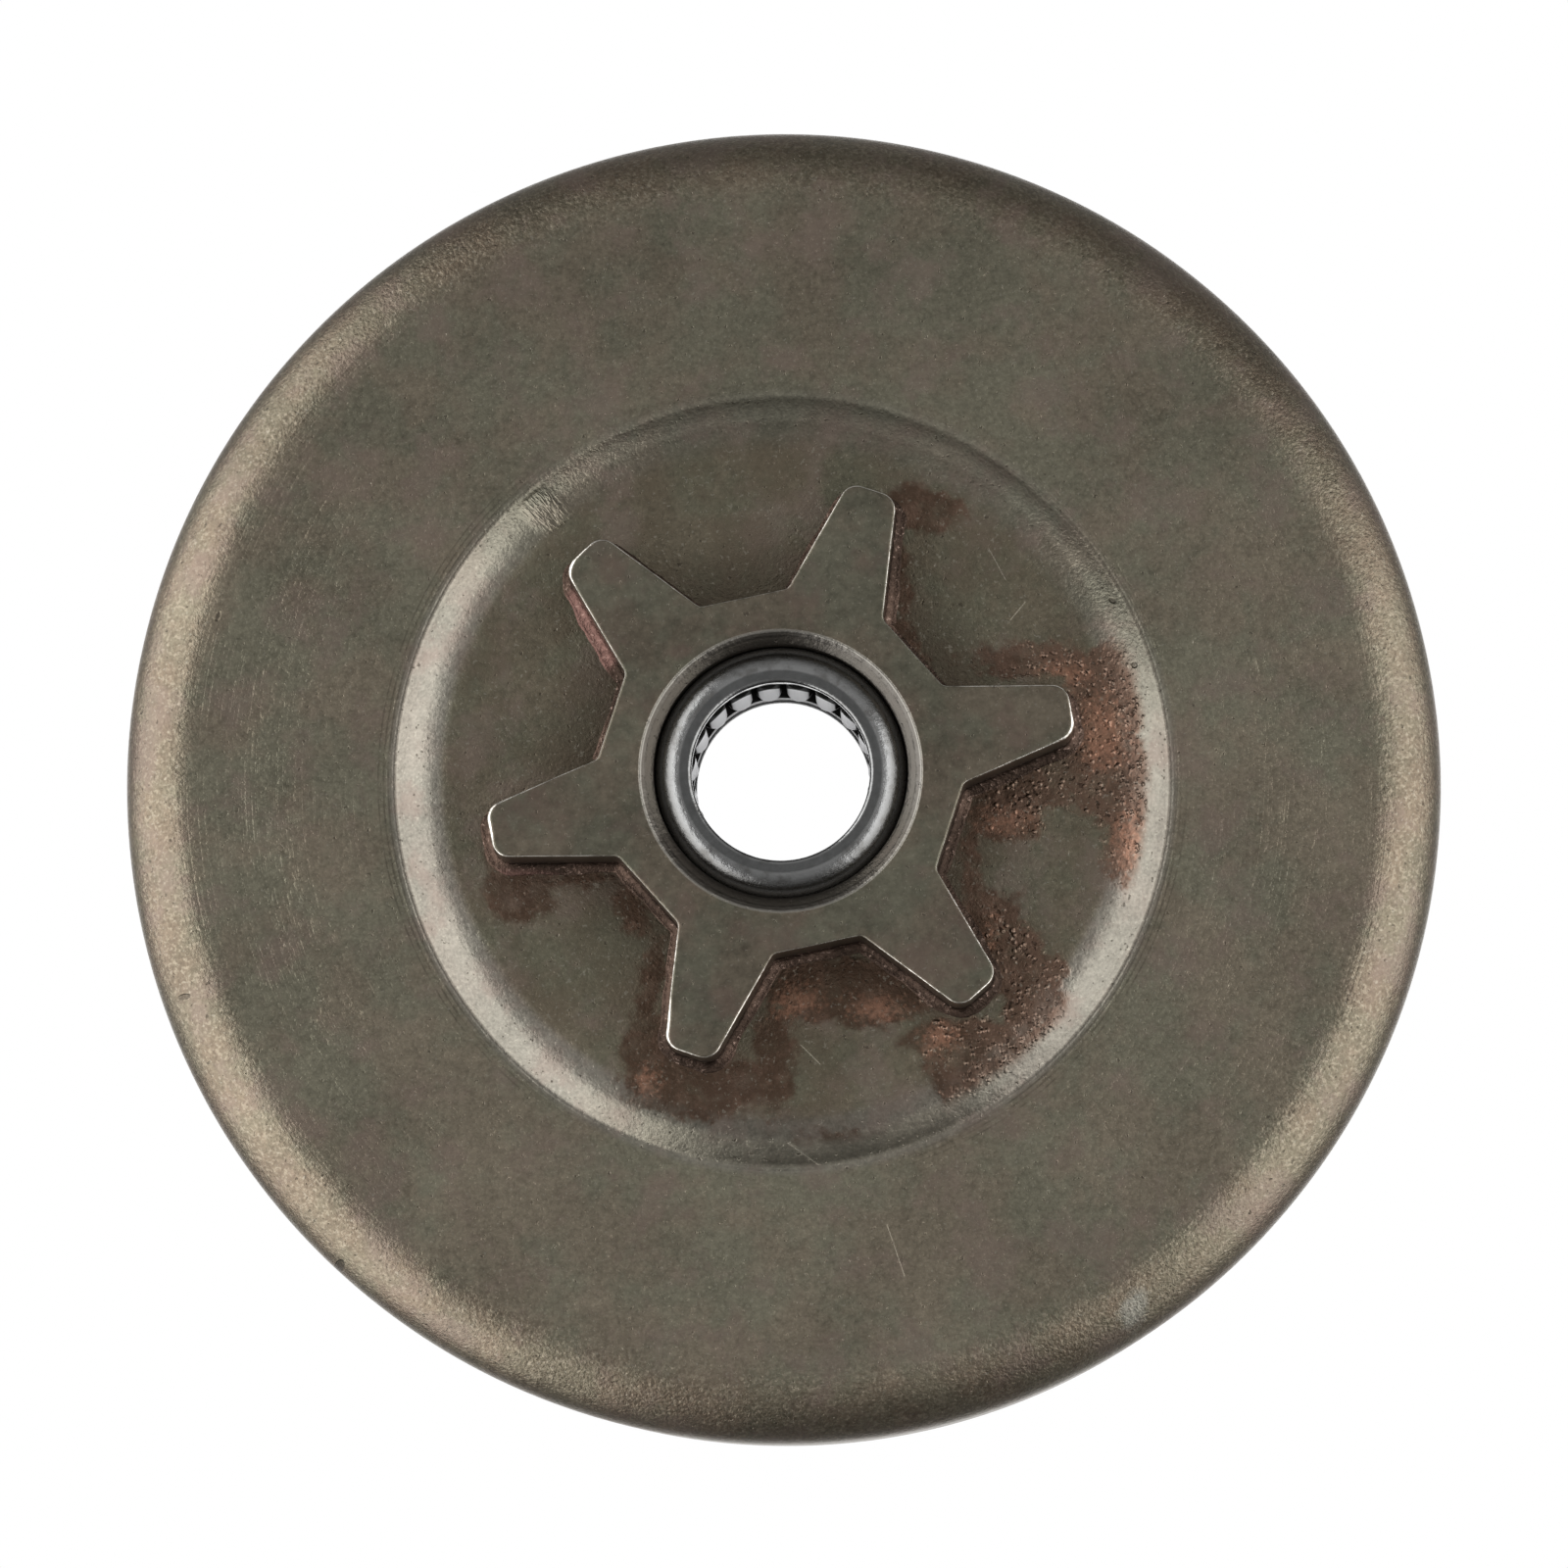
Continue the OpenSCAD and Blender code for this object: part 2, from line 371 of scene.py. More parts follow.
    def finish(self, color, rough, height, metallic=1.0, **fixed):
        """Fills the shader; height is in millimetres, and fixed values go on the sockets themselves."""
        self.plug(self.bsdf.inputs["Base Color"], color)
        self.plug(self.bsdf.inputs["Roughness"], rough)
        self.plug(self.bsdf.inputs["Metallic"], metallic)
        for key, value in fixed.items():
            self.bsdf.inputs[key].default_value = value
        bump = self.node("Bump", {"Strength": 1.0, "Distance": MM, "Height": height})
        self.plug(self.bsdf.inputs["Normal"], bump)
        return self.mat


# ---------------------------------------------------------------- materials
def grain(s, shift=0.0):
    """Fine uneven surface shared by the steels: (fine, mottle, specks, pits), each 0 to 1."""
    fine = s.noise(5.6, 2.0, 0.6, shift=shift + 11)
    mottle = s.noise(1.7, 4.0, 0.62, shift=shift)
    specks = s.step(s.noise(5.0, 2.0, 0.5, shift=shift + 31), 0.62, 0.72)
    pits = s.step(s.noise(3.6, 2.0, 0.5, shift=shift + 57), 0.66, 0.75)
    return fine, mottle, specks, pits


def toned(s, col, *parts):
    """The colour made lighter and darker by (noise, amount) pairs."""
    tone = s.add(1.0, *[s.mul(s.sub(value, 0.5), amount) for value, amount in parts])
    return s.mix(1.0, col, s.join(tone, tone, tone), "MULTIPLY")


def rings_of(s, pitch, shift):
    """Streaks that run round the bore axis, as a turning tool leaves them."""
    along = s.join(s.mul(s.r, 1 / pitch), s.mul(s.math("COSINE", s.turn), 1.3),
                   s.add(s.mul(s.math("SINE", s.turn), 1.3), s.mul(s.z, 1 / pitch)))
    return s.noise(1.0, 2.0, 0.6, at=along, shift=shift)


def drum_material():
    s = Shade("drum_steel_oiled")
    fine, mottle, specks, pits = grain(s)
    blotch = s.noise(0.16, 3.0, 0.6, shift=9)
    purple = s.step(s.noise(0.30, 4.0, 0.62, shift=40), 0.48, 0.66)
    turning = rings_of(s, 0.27, 5)

    seat = s.inv(s.step(s.r, 16.8, 18.4))
    top = s.step(s.z, 19.0, 19.8)
    shoulder = s.mul(s.band(s.r, 17.9, 20.05, 0.6), top, s.inv(s.mul(s.sector(10, 40, 45), 0.75)))
    rim = s.step(s.r, 30.4, 32.2)

    face_col = (0.181, 0.162, 0.1225)
    rim_col = (0.182, 0.151, 0.112)
    shoulder_col = (0.212, 0.195, 0.165)
    seat_col = (0.136, 0.122, 0.089)
    col = s.mix(rim, face_col, rim_col)
    col = s.mix(seat, col, seat_col)
    col = s.mix(shoulder, col, shoulder_col)
    # painted shade and painted light: towards the picture's top and bottom the shoulder is dark above and
    # light at its foot
    calm = s.mul(s.most(s.sector(12, 36, 30), s.sector(178, 18, 22)), top)
    col = s.mix(s.mul(calm, s.band(s.r, 17.4, 18.4, 0.5), 0.5), col, (0.118, 0.106, 0.082))
    col = s.mix(s.mul(calm, s.band(s.r, 18.9, 19.9, 0.5), 0.8), col, (0.250, 0.228, 0.180))

    # broad changes of tone, then the mottle and the fine grain
    col = toned(s, col, (blotch, 0.75), (mottle, 0.62), (fine, 0.90))
    hue = s.step(s.noise(0.26, 3.0, 0.6, shift=83), 0.40, 0.60)
    warm_or_green = s.mix(hue, (1.03, 0.985, 0.97), (0.955, 1.0, 0.975))
    col = s.mix(s.sub(1.0, s.mul(shoulder, 0.7)), col, warm_or_green, "MULTIPLY")
    flecks = s.mul(s.step(s.noise(4.6, 2.0, 0.55, shift=140), 0.50, 0.66), s.step(s.r, 29.5, 31.5))
    col = s.mix(s.mul(flecks, 0.55), col, (0.33, 0.285, 0.215))
    dull = s.mul(s.step(s.noise(3.9, 2.0, 0.55, shift=160), 0.52, 0.66), s.step(s.r, 29.5, 31.5))
    col = s.mix(s.mul(dull, 0.45), col, (0.105, 0.082, 0.060))
    # painted shade: the colour darkens towards the picture's top
    upper = s.step(s.py, 4.0, 30.0, (1.0, 0.83))
    col = s.mix(1.0, col, s.join(upper, upper, upper), "MULTIPLY")
    col = s.mix(s.mul(purple, 0.46), col, (0.205, 0.154, 0.130))
    film = s.step(s.noise(0.28, 3.0, 0.6, shift=71), 0.44, 0.62)
    col = s.mix(s.mul(film, seat, 0.45), col, (0.118, 0.094, 0.066))
    # between the teeth the seat is darker, partly a brown film and partly painted shade of the teeth
    teeth_film_and_shade = s.mul(s.inv(s.step(s.r, 9.9, 13.4)), s.step(mottle, 0.20, 0.62, (0.5, 1.0)))
    col = s.mix(s.mul(teeth_film_and_shade, 0.72), col, (0.078, 0.060, 0.044))

    # painted shade: a dark foot in the crease round the raised centre, with dark fine grooves outside it on
    # the picture's left and right
    foot = s.mul(s.band(s.r, 20.02, 20.12, 0.06), top)
    foot = s.mul(foot, s.inv(s.sector(180, 20, 40)), s.inv(s.sector(0, 25, 30)))
    groove_shade = s.most(*[s.band(s.r, a, b, 0.05) for a, b in ((20.38, 20.42), (20.64, 20.68), (20.92, 20.95))])
    groove_shade = s.mul(groove_shade, top, s.most(s.sector(268, 38, 22), s.sector(126, 22, 20)),
                  s.step(s.noise(0.8, 3.0, 0.6, shift=52), 0.36, 0.56, (0.2, 1.0)))
    col = s.mix(s.mul(groove_shade, 0.45), col, (0.060, 0.050, 0.040))
    col = s.mix(s.mul(foot, 0.50), col, (0.055, 0.045, 0.035))

    # spilt braze and flux
    stain, hot, grit, drops, holes, shade = braze_stain(s)
    stain_col = s.mix(shade, (0.068, 0.041, 0.028), (0.128, 0.078, 0.056))
    stain_col = s.mix(hot, stain_col, (0.330, 0.170, 0.112))
    under_gap = s.mul(s.step(s.blob(862, 1004, 60, 26, 4), -0.5, 0.7), 0.45)
    stain_col = s.mix(under_gap, stain_col, (0.058, 0.034, 0.022))
    col = s.mix(s.mul(stain, 0.90), col, stain_col)
    gritty = s.mul(grit, stain)
    col = s.mix(s.mul(drops, gritty, 0.50), col, (0.31, 0.222, 0.172))
    col = s.mix(s.mul(holes, gritty, 0.60), col, (0.030, 0.020, 0.015))

    # marks of handling
    scuff = s.step(s.add(s.blob(1155, 1335, 17, 26, 20), s.mul(s.sub(mottle, 0.5), 1.2)), -0.05, 0.5)
    scratch = s.most(s.line(835, 1187, 805, 1166, 0.07), s.line(905, 1250, 922, 1300, 0.025),
                     s.line(818, 1068, 836, 1086, 0.04), s.line(1010, 560, 1026, 590, 0.035),
                     s.line(1046, 615, 1032, 632, 0.035), s.line(640, 880, 700, 905, 0.04))
    nick = s.step(s.most(s.blob(185, 1015, 8, 3, -8), s.blob(343, 1290, 5, 8, 40),
                         s.blob(1158, 678, 3.2, 3.2), s.blob(1136, 611, 4, 3, 30),
                         s.blob(219, 625, 3, 6, 20)), -0.02, 0.06)
    col = s.mix(s.mul(scuff, 0.42), col, (0.36, 0.37, 0.33))
    col = s.mix(s.mul(scratch, 0.34), col, (0.42, 0.39, 0.32))
    col = s.mix(s.mul(specks, 0.27), col, (0.40, 0.375, 0.31))
    col = s.mix(s.mul(s.most(pits, nick), 0.60), col, (0.055, 0.046, 0.036))

    # the band that the shoes rub, inside the wall
    inside = s.mul(s.inv(s.step(s.r, BAND_R + 0.02, BAND_R + 0.1)),
                   s.inv(s.step(s.z, BAND_LEN - 0.2, BAND_LEN + 0.1)), s.step(s.r, WALL_R - 0.2, WALL_R))
    worn = s.noise(1.0, 3.0, 0.6, at=s.join(s.mul(s.z, 3.2), s.mul(s.turn, 1.4), 0.0), shift=3)
    col = s.mix(s.mul(inside, 0.85), col, s.mix(worn, (0.30, 0.29, 0.26), (0.46, 0.45, 0.42)))

    rough = s.add(0.285, s.mul(mottle, 0.12), s.mul(stain, 0.04), s.mul(drops, gritty, -0.10),
                  s.mul(seat, 0.05), s.mul(specks, -0.06), s.mul(shoulder, -0.02), s.mul(rim, 0.05))

    # turning marks on the face, a wrinkle on the shoulder, then the sum of all heights
    marks = s.mul(s.step(s.noise(0.20, 2.0, 0.5, shift=22), 0.42, 0.58), s.band(s.r, 22.0, 31.0, 1.5))
    tooled = s.mul(s.most(s.sector(268, 26, 16), s.mul(s.sector(94, 16, 14), 0.7)),
                   s.band(s.r, 25.2, 27.6, 1.6), s.step(s.noise(1.0, 3.0, 0.6, shift=63), 0.36, 0.60),
                   rings_of(s, 0.17, 77), top)
    across = s.join(s.mul(s.r, 1.4), s.mul(s.turn, 90.0), 0.0)
    wrinkle = s.mul(s.step(s.blob(560, 522, 50, 26, 42), 0.0, 1.0), s.band(s.r, 17.6, 19.6, 0.3),
                    s.noise(1.0, 2.0, 0.5, at=across, shift=2, warp=0.3))
    crinkle = s.mul(s.band(s.r, 16.9, 18.6, 0.5), s.noise(3.4, 2.0, 0.55, shift=91))
    height = s.add(s.mul(mottle, 0.024), s.mul(fine, s.sub(0.036, s.mul(shoulder, 0.024))),
                   s.mul(pits, -0.016),
                   s.mul(turning, s.add(0.006, s.mul(marks, 0.034)), s.inv(seat)),
                   s.mul(tooled, 0.042), s.mul(crinkle, 0.010),
                   s.mul(drops, gritty, 0.085), s.mul(holes, gritty, -0.040),
                   s.mul(s.noise(2.6, 1.5, 0.5, shift=44), gritty, 0.045),
                   s.mul(wrinkle, 0.17), s.mul(nick, -0.06), s.mul(scratch, -0.010),
                   s.mul(inside, worn, 0.006))
    return s.finish(col, rough, height)


def braze_stain(s):
    """Spilt braze and flux on the raised centre: (stain, copper, grit, drops, holes, light parts)."""
    blobs = [
        (1065, 674, 78, 19, 2), (1132, 712, 44, 56, 0), (1138, 790, 38, 60, 0), (1150, 850, 25, 54, 4),
        (1055, 793, 76, 32, -20), (1030, 832, 48, 28, 0), (1090, 812, 36, 28, 0), (990, 880, 11, 46, 0),
        (1008, 930, 30, 46, 20), (1035, 985, 36, 44, 0), (1056, 1046, 38, 50, 0), (1005, 1086, 66, 48, 0),
        (956, 1068, 38, 30, 0), (1066, 1000, 18, 34, 28),
        (870, 1012, 96, 36, 4), (792, 1080, 22, 56, 0), (716, 1108, 80, 34, 0), (660, 1070, 26, 44, 0),
        (664, 1000, 13, 60, 12), (530, 912, 38, 30, 0), (506, 880, 13, 42, 0), (575, 900, 54, 12, -6),
        (646, 930, 16, 34, -30), (940, 518, 44, 26, 8), (917, 580, 11, 66, -4), (925, 655, 13, 34, -25),
        (878, 1166, 62, 9, 2)]
    clean = [(1090, 884, 33, 62, -6), (1032, 890, 34, 22, 0), (878, 1098, 68, 38, 0)]
    field = s.most(*[s.blob(*b) for b in blobs])
    field = s.least(field, s.mul(s.most(*[s.blob(*b) for b in clean]), -1.0))
    edge = s.add(s.mul(s.sub(s.noise(0.9, 4.0, 0.6, shift=17), 0.5), 1.7),
                 s.mul(s.sub(s.noise(3.2, 2.0, 0.5), 0.5), 0.6))
    stain = s.mul(s.step(s.add(field, edge), -0.26, 0.34), s.inv(s.step(s.r, 18.5, 19.3)),
                  s.step(s.z, 19.5, 20.0))
    stain = s.mul(stain, s.step(s.noise(0.7, 3.0, 0.6, shift=29), 0.28, 0.55, (0.66, 1.0)))
    warm = s.most(s.blob(1150, 858, 22, 46, 4), s.blob(1030, 838, 40, 18, 0), s.blob(1125, 750, 34, 52, 0),
                  s.blob(1085, 690, 40, 20, 0), s.blob(815, 1022, 36, 22, -20), s.blob(895, 1030, 40, 20, 14),
                  s.blob(1012, 955, 12, 24, 20), s.blob(960, 1060, 26, 20, 0), s.blob(662, 1104, 18, 20, 0))
    crumbs = s.noise(3.6, 3.0, 0.62, shift=101)
    hot = s.mul(s.step(s.add(warm, s.mul(s.sub(crumbs, 0.5), 3.0)), -0.1, 1.4), 0.85)
    zone = s.most(s.blob(1100, 770, 110, 130, 0), s.blob(1040, 1040, 90, 110, 0))
    uneven = s.mul(s.sub(s.noise(0.8, 2.0, 0.5, shift=66), 0.5), 6.0)
    coarse = s.step(s.add(zone, uneven), -0.8, 1.8, (0.15, 1.0))
    drops = s.mul(s.inv(s.step(s.cells(2.9, 211), 0.12, 0.46)),
                  s.step(s.noise(1.6, 2.0, 0.5, shift=19), 0.36, 0.58))
    holes = s.step(s.noise(3.2, 1.0, 0.5, shift=307), 0.60, 0.70)
    patches = s.noise(0.9, 4.0, 0.65, shift=13)
    shade = s.step(s.add(patches, s.step(s.px, 4.0, 16.0, (-0.10, 0.14))), 0.34, 0.66)
    return stain, hot, coarse, drops, holes, shade


def star_material():
    s = Shade("star_steel_rubbed")
    fine, mottle, specks, pits = grain(s, 200)
    blotch = s.noise(0.22, 3.0, 0.6, shift=12)
    purple = s.step(s.noise(0.40, 4.0, 0.62, shift=44), 0.48, 0.64)
    col = toned(s, (0.133, 0.120, 0.092), (blotch, 0.95), (mottle, 0.90), (fine, 0.45))
    col = s.mix(s.mul(purple, 0.46), col, (0.142, 0.106, 0.090))
    hue = s.step(s.noise(0.30, 3.0, 0.6, shift=87), 0.40, 0.60)
    col = s.mix(1.0, col, s.mix(hue, (1.04, 0.98, 0.96), (0.95, 1.0, 0.97)), "MULTIPLY")
    edge_noise = s.step(s.noise(1.3, 4.0, 0.65, shift=8), 0.36, 0.60)
    edge = s.mul(s.step(s.z, TOP_Z - 0.24, TOP_Z - 0.15), s.inv(s.step(s.z, TOP_Z - 0.050, TOP_Z - 0.032)))
    rubbed = s.mul(edge, s.add(0.30, s.mul(edge_noise, 0.70)), s.step(s.r, 9.7, 10.8, (0.30, 1.0)))
    wall = s.mul(s.inv(s.step(s.z, TOP_Z - 0.9, TOP_Z - 0.2)), s.step(s.r, 8.7, 9.0))
    # painted shade darkens the flanks, and the broken edge is bright
    col = s.mix(s.mul(wall, 0.60), col, (0.075, 0.058, 0.047))
    col = s.mix(rubbed, col, (0.88, 0.84, 0.78))
    col = s.mix(s.mul(specks, 0.20), col, (0.34, 0.32, 0.27))
    col = s.mix(s.mul(pits, 0.50), col, (0.05, 0.042, 0.034))
    bevel = s.mul(s.inv(s.step(s.r, SHELL_R + 0.70, SHELL_R + 0.76)),
                  s.step(s.z, TOP_Z - BEVEL_DEPTH - 0.06, TOP_Z - BEVEL_DEPTH - 0.02))
    turning = rings_of(s, 0.12, 15)
    # painted light: the bore's bevel is lighter towards the picture's upper right
    lit = s.sector(60, 34, 30)
    col = s.mix(s.mul(bevel, 0.9), col, s.mix(lit, (0.062, 0.055, 0.047), (0.094, 0.087, 0.078)))
    ring = s.band(s.r, SHELL_R + 0.66, SHELL_R + 0.76, 0.05)
    col = s.mix(s.mul(ring, s.step(s.z, TOP_Z - 0.2, TOP_Z - 0.1), 0.42), col, (0.40, 0.38, 0.34))
    # painted shade darkens the bore's wall above the shell
    bore = s.mul(s.inv(s.step(s.r, SHELL_R + 0.01, SHELL_R + 0.06)),
                 s.step(s.z, SHELL_TOP - 1.5, SHELL_TOP - 1.2))
    col = s.mix(s.mul(bore, 0.40), col, (0.09, 0.082, 0.072))
    rough = s.add(0.31, s.mul(mottle, 0.12), s.mul(rubbed, -0.08), s.mul(bevel, -0.02))
    height = s.add(s.mul(mottle, 0.030), s.mul(fine, 0.016), s.mul(pits, -0.014),
                   s.mul(bevel, turning, 0.012), s.mul(edge, s.noise(2.4, 2.0, 0.5, shift=5), 0.05))
    return s.finish(col, rough, height)


def braze_material():
    s = Shade("braze_metal")
    grit = s.noise(4.5, 3.0, 0.6, shift=3)
    tint = s.step(s.noise(0.35, 2.0, 0.5, shift=14), 0.40, 0.62)
    pink = s.step(s.most(s.blob(604, 640, 62, 40, -60), s.blob(520, 905, 60, 16, 0)),
                  -0.3, 0.3)
    col = s.mix(tint, (0.044, 0.030, 0.023), (0.084, 0.056, 0.043))
    col = s.mix(pink, col, (0.142, 0.081, 0.068))
    col = toned(s, col, (grit, 1.6))
    # painted glints: light spots on the grit's peaks
    col = s.mix(s.mul(s.step(grit, 0.60, 0.74), 0.7), col, (0.42, 0.30, 0.25))
    height = s.add(s.mul(grit, 0.080), s.mul(s.noise(9.0, 2.0, 0.5), 0.012))
    return s.finish(col, s.add(0.36, s.mul(grit, 0.14)), height)


def bearing_material():
    s = Shade("bearing_polished")
    scratches = rings_of(s, 0.05, 27)
    stains = s.step(s.noise(0.9, 4.0, 0.65, shift=33), 0.46, 0.66)
    mottle = s.noise(3.0, 4.0, 0.6, shift=3)
    # painted light makes the inner side of the lower lip pale; towards its outside the upper lip is darkened
    # partly by oil and partly by painted shade, and painted shade darkens the gap at the shell's outer edge
    near_top = s.step(s.z, SHELL_TOP - 1.2, SHELL_TOP - 1.0)
    lower = s.mul(s.inv(s.step(s.z, 16.5, 17.5)), s.inv(s.step(s.r, LIP_R + 0.01, LIP_R + 0.06)))
    lip = s.mul(s.band(s.r, 4.80, 5.14, 0.12), s.step(s.z, SHELL_TOP - 0.2, SHELL_TOP - 0.1))
    oil_and_shade = s.mul(s.step(s.r, 5.44, 5.92), near_top)
    outer_gap_shade = s.mul(s.step(s.r, 6.02, 6.26), near_top)
    col = s.mix(s.mul(stains, 0.65), (0.250, 0.251, 0.249), (0.110, 0.106, 0.099))
    col = s.mix(s.mul(lip, 0.90), col, s.mix(mottle, (0.062, 0.063, 0.062), (0.122, 0.124, 0.124)))
    col = s.mix(s.mul(oil_and_shade, 0.62), col, (0.094, 0.090, 0.083))
    col = s.mix(s.mul(outer_gap_shade, 0.85), col, (0.085, 0.078, 0.068))
    col = s.mix(lower, col, (0.92, 0.92, 0.92))
    rough = s.add(0.13, s.mul(mottle, 0.10), s.mul(lip, 0.14), s.mul(oil_and_shade, 0.10), s.mul(lower, 0.30))
    height = s.add(s.mul(scratches, 0.004), s.mul(mottle, 0.024), s.mul(s.noise(9.0, 2.0, 0.5), 0.004))
    return s.finish(col, rough, height, metallic=s.sub(1.0, s.most(s.mul(outer_gap_shade, 0.80), lower)))


def roller_material():
    s = Shade("roller_polished")
    streak = s.noise(1.0, 3.0, 0.6, at=s.join(s.mul(s.x, 9.0), s.mul(s.y, 9.0), s.mul(s.z, 0.4)))
    col = s.mix(streak, (0.80, 0.80, 0.81), (0.90, 0.90, 0.91))
    # two rollers face each other here, and little light gets between them; the 100 keeps turns above 0
    turns = s.add(s.math("DIVIDE", s.math("ARCTAN2", s.y, s.x), TAU / ROLLERS),
                  100.5 - CAGE_TURN * ROLLERS / 360)
    gap = s.mul(s.math("ABSOLUTE", s.sub(s.math("FRACT", turns), 0.5)), 2.0)
    side = s.mul(s.inv(s.step(gap, 0.22, 0.29)), s.inv(s.step(s.r, PITCH_R, PITCH_R + 0.1)),
                 s.step(s.z, 16.0, 16.3))
    # the upper lip shades the rollers above a sloping line
    high = s.add(s.r, s.mul(s.z, 0.093))
    side = s.most(side, s.step(high, 6.585, 6.62))
    col = s.mix(side, col, (0.012, 0.012, 0.011))
    return s.finish(col, s.add(0.42, s.mul(streak, 0.08)), s.mul(streak, 0.001),
                    metallic=s.mul(s.inv(side), 0.35), IOR=1.02)


def cage_material():
    s = Shade("cage_grey")
    mottle = s.noise(3.4, 4.0, 0.6, shift=3)
    col = s.mix(mottle, (0.070, 0.068, 0.064), (0.120, 0.117, 0.110))
    upper = s.mul(s.step(s.z, RING_TOP - RING_T - 0.05, RING_TOP - RING_T), s.inv(s.step(s.r, 4.85, 5.1)))
    below = s.inv(s.step(s.z, RING_BOT + RING_T - 0.2, RING_BOT + RING_T - 0.12))
    lower = s.mul(below, s.inv(s.step(s.r, RING_IN + 0.04, RING_IN + 0.10)))
    # painted shade: the cage's cross pieces between the rollers are near black
    shaded_bars = s.mul(s.inv(below), s.inv(s.step(s.z, RING_TOP - RING_T - 0.1, RING_TOP - RING_T)))
    col = s.mix(shaded_bars, col, (0.022, 0.021, 0.020))
    col = s.mix(s.mul(upper, 0.85), col, (0.34, 0.34, 0.335))
    # painted light: the inner side of the lower ring is pale
    col = s.mix(lower, col, (0.80, 0.80, 0.80))
    return s.finish(col, s.add(0.34, s.mul(mottle, 0.12)), s.mul(mottle, 0.010),
                    metallic=s.mul(s.inv(shaded_bars), s.add(1.0, s.mul(lower, -0.8))), IOR=1.02)


# ---------------------------------------------------------------- pieces
def cup_profile():
    """Parts of the cup's profile, from the spigot's hole outwards and down to the open rim."""
    run = CENTRE_R - SEAT_R
    shoulder_r = (run ** 2 + RISE ** 2) / (2 * RISE)
    under = CUP_H - SHEET
    inner = RIM - SHEET
    foot_a = math.degrees(math.asin((SHOULDER_END - SEAT_R) / shoulder_r))
    top = [(SPIGOT_R, SEAT_Z)] + arc(SEAT_R, SEAT_Z - shoulder_r, shoulder_r, 90, 90 - foot_a, 22)
    # a small hollow at the foot, then the die's fine turning grooves
    foot = [(19.88, 20.112), (19.96, 20.066), (20.04, 20.032), (20.12, 20.010), (20.22, CUP_H),
            (20.30, 19.940), (20.38, CUP_H), (20.50, CUP_H), (20.59, 19.950), (20.68, CUP_H), (20.9, CUP_H)]
    rim = arc(CUP_R - RIM, CUP_H - RIM, RIM, 90, 0, 30)
    skirt = soften([(CUP_R, 8.0), (CUP_R, 0.3), (CUP_R - 0.3, 0.0), (BAND_R + 0.5, 0.0), (BAND_R, 0.5),
                    (BAND_R, BAND_LEN), (WALL_R, BAND_LEN + 0.5), (WALL_R, BAND_LEN + 2.0)],
                   0.12, closed=False)
    return top, foot, rim, skirt, under, inner


def build_cup():
    top, foot, rim, skirt, under, inner = cup_profile()
    inside = arc(WALL_R - inner, under - inner, inner, 0, 90, 10)
    tail = soften([(25.0, under), (CENTRE_R - 1, under), (CENTRE_R - 1 - 1.6 * RISE, SEAT_Z - SHEET),
                   (SPIGOT_R + 1, SEAT_Z - SHEET)], 0.5, closed=False)
    profile = top + foot + rim + skirt + inside + tail + [(SPIGOT_R, SEAT_Z - SHEET)]
    profile = split_long(profile, 0.9)

    def shift(r, z, a):
        x, y = r * math.cos(a), r * math.sin(a)
        if r < SPIGOT_R + 0.5:
            return r, z
        lift = 0.0
        if z > 15.0:
            # the pressed sheet isn't perfectly even
            calm = min(1.0, max(0.0, (33.6 - r) / 2.0))
            lift = 0.018 * wobble(x, y, 3, 7.0) * calm + 0.006 * wobble(x, y, 8, 2.0) * calm
            if 17.0 < r < 20.1:
                lift += 0.014 * wobble(x, y, 21, 2.6) * math.sin(math.pi * (r - 17.0) / 3.1)
            if 20.28 < r < 20.8 and z < CUP_H - 0.005:
                groove = 0.5 + 0.5 * wobble(x, y, 50, 4.0)
                lift += (CUP_H - z) * (1 - groove) * 0.8
        grow = 0.0
        # the wall stays a little inside the solid's, least at its top
        if r > 31.5:
            grow = (-0.025 - 0.015 * wobble(x, y, z, 9.0)) * min(1.0, max(0.0, (19.6 - z) / 3.0))
        return r + grow, min(z + lift, z + 0.05)

    cup = lathe("pressed_cup", profile, 480, shift)
    cup.data.materials.append(drum_material())
    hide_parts("drum_cup")
    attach(cup, "drum")


